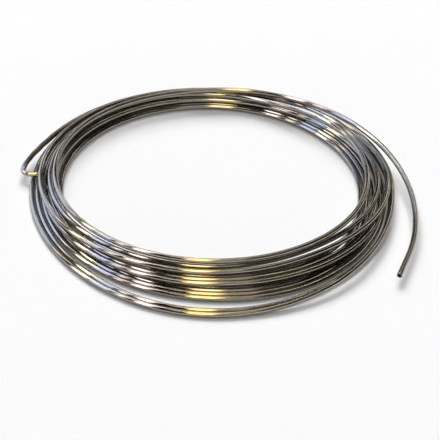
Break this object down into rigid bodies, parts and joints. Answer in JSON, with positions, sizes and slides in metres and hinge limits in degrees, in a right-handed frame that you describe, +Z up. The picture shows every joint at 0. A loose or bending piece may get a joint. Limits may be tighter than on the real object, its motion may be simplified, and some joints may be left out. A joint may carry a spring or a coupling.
{
  "type": "coil of stainless steel tubing",
  "caption": "Loose flat coil of thin stainless steel tube, with an open eye, a straight cut end lifted off the pile and a small hand-bent hook at the other end.",
  "frame": {"origin": "on the floor, on the axis of the coil", "axes": "+Z up along the axis of the coil, -Y towards the side where the outer turns have slid out, +X towards the side of the straight cut end"},
  "size_m": [0.233, 0.2298, 0.0146],
  "materials": {
    "steel": "bright drawn"
  },
  "bodies": {
    "root": {"coiled_tube": "steel"}
  },
  "joints": []
}
